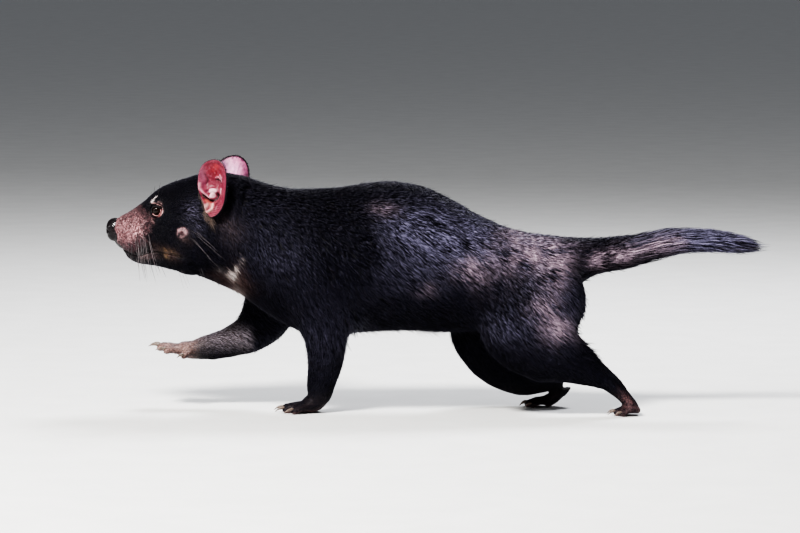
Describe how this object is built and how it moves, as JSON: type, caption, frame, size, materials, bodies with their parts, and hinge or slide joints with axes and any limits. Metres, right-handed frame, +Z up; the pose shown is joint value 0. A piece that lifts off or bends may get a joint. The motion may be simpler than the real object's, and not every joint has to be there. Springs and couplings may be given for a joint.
{
  "type": "tasmanian devil",
  "caption": "Tasmanian devil at life size in mid-stride, head low and level, right forepaw reaching forward, tail held out behind.",
  "frame": {"origin": "middle of the bounding box in plan, on the floor", "axes": "+X from the nose towards the tail, +Y towards the animal's right side, +Z up; the floor is Z = 0"},
  "size_m": [0.8386, 0.1632, 0.3247],
  "materials": {
    "coat": "short black fur with a bluish sheen, thin and brown over the rump and along the side of the tail",
    "skin": "bare thin pink skin with a dark rim",
    "nose": "wet black skin",
    "eye": "wet and very dark brown",
    "claw": "horn, duller at the root"
  },
  "bodies": {
    "root": {"torso": "coat", "neck": "coat", "head": "coat", "nose": "nose", "eye_left": "eye", "eye_right": "eye", "ear_left": "skin", "ear_right": "skin", "tail_base": "coat", "tail_brush": "coat", "upper_foreleg_left": "coat", "forearm_left": "coat", "forepaw_left": "coat", "upper_foreleg_right": "coat", "forearm_right": "coat", "forepaw_right": "coat", "thigh_left": "coat", "shank_left": "coat", "hindpaw_left": "coat", "thigh_right": "coat", "shank_right": "coat", "hindpaw_right": "coat", "foreclaw_left_1": "claw", "foreclaw_left_2": "claw", "foreclaw_left_3": "claw", "foreclaw_left_4": "claw", "foreclaw_left_5": "claw", "foreclaw_right_1": "claw", "foreclaw_right_2": "claw", "foreclaw_right_3": "claw", "foreclaw_right_4": "claw", "foreclaw_right_5": "claw", "hindclaw_left_1": "claw", "hindclaw_left_2": "claw", "hindclaw_left_3": "claw", "hindclaw_left_4": "claw", "hindclaw_right_1": "claw", "hindclaw_right_2": "claw", "hindclaw_right_3": "claw", "hindclaw_right_4": "claw"}
  },
  "joints": []
}
